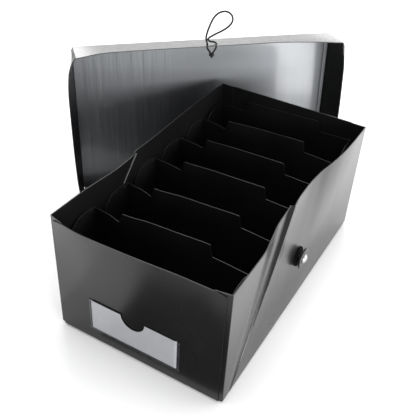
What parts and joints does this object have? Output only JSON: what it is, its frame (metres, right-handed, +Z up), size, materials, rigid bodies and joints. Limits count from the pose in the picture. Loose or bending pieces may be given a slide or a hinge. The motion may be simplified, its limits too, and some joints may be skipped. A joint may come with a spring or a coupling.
{
  "type": "archival box",
  "caption": "Open black flat-pack archival box with tabbed dividers, a label pocket, a riveted button and a loose lid that stands behind it with an elastic loop.",
  "frame": {"origin": "centre of the tray's flat underside", "axes": "+Z up, +X towards the long wall with the button, +Y from the short wall with the label pocket to the rear"},
  "size_m": [0.2978, 0.3936, 0.2086],
  "materials": {
    "black_sheet": "satin extruded sheet",
    "divider_sheet": "fine matte sheet",
    "frosted_film": "frosted film",
    "button_plastic": "moulded, glossy",
    "rivet_steel": "polished nickel plate",
    "elastic_cord": "braided cover"
  },
  "bodies": {
    "tray": {"body_tray": "black_sheet", "label_pocket": "frosted_film", "button_washer": "button_plastic", "rivet_cap": "rivet_steel", "rivet_post": "rivet_steel"},
    "button": {"button_disc": "button_plastic"},
    "divider_1": {"divider_1": "divider_sheet"},
    "divider_2": {"divider_2": "divider_sheet"},
    "divider_3": {"divider_3": "divider_sheet"},
    "divider_4": {"divider_4": "divider_sheet"},
    "divider_5": {"divider_5": "divider_sheet"},
    "divider_6": {"divider_6": "divider_sheet"},
    "lid": {"lid_tray": "black_sheet", "elastic_loop": "elastic_cord", "loop_knot": "elastic_cord"}
  },
  "joints": [
    {"name": "divider_1_lift", "type": "slide", "parent": "tray", "child": "divider_1", "axis": [0, 0, 1], "range_m": [0, 0.125]},
    {"name": "divider_2_lift", "type": "slide", "parent": "tray", "child": "divider_2", "axis": [0, 0, 1], "range_m": [0, 0.125]},
    {"name": "divider_3_lift", "type": "slide", "parent": "tray", "child": "divider_3", "axis": [0, 0, 1], "range_m": [0, 0.125]},
    {"name": "divider_4_lift", "type": "slide", "parent": "tray", "child": "divider_4", "axis": [0, 0, 1], "range_m": [0, 0.125]},
    {"name": "divider_5_lift", "type": "slide", "parent": "tray", "child": "divider_5", "axis": [0, 0, 1], "range_m": [0, 0.125]},
    {"name": "divider_6_lift", "type": "slide", "parent": "tray", "child": "divider_6", "axis": [0, 0, 1], "range_m": [0, 0.06]},
    {"name": "lid_draw", "type": "slide", "parent": "tray", "child": "lid", "axis": [-0.7046, 0.7096, 0], "range_m": [0, 0.12]},
    {"name": "button_spin", "type": "hinge", "parent": "tray", "child": "button", "pos_m": [0.083, -0.002, 0.0545], "axis": [1, 0, 0], "continuous": true}
  ]
}
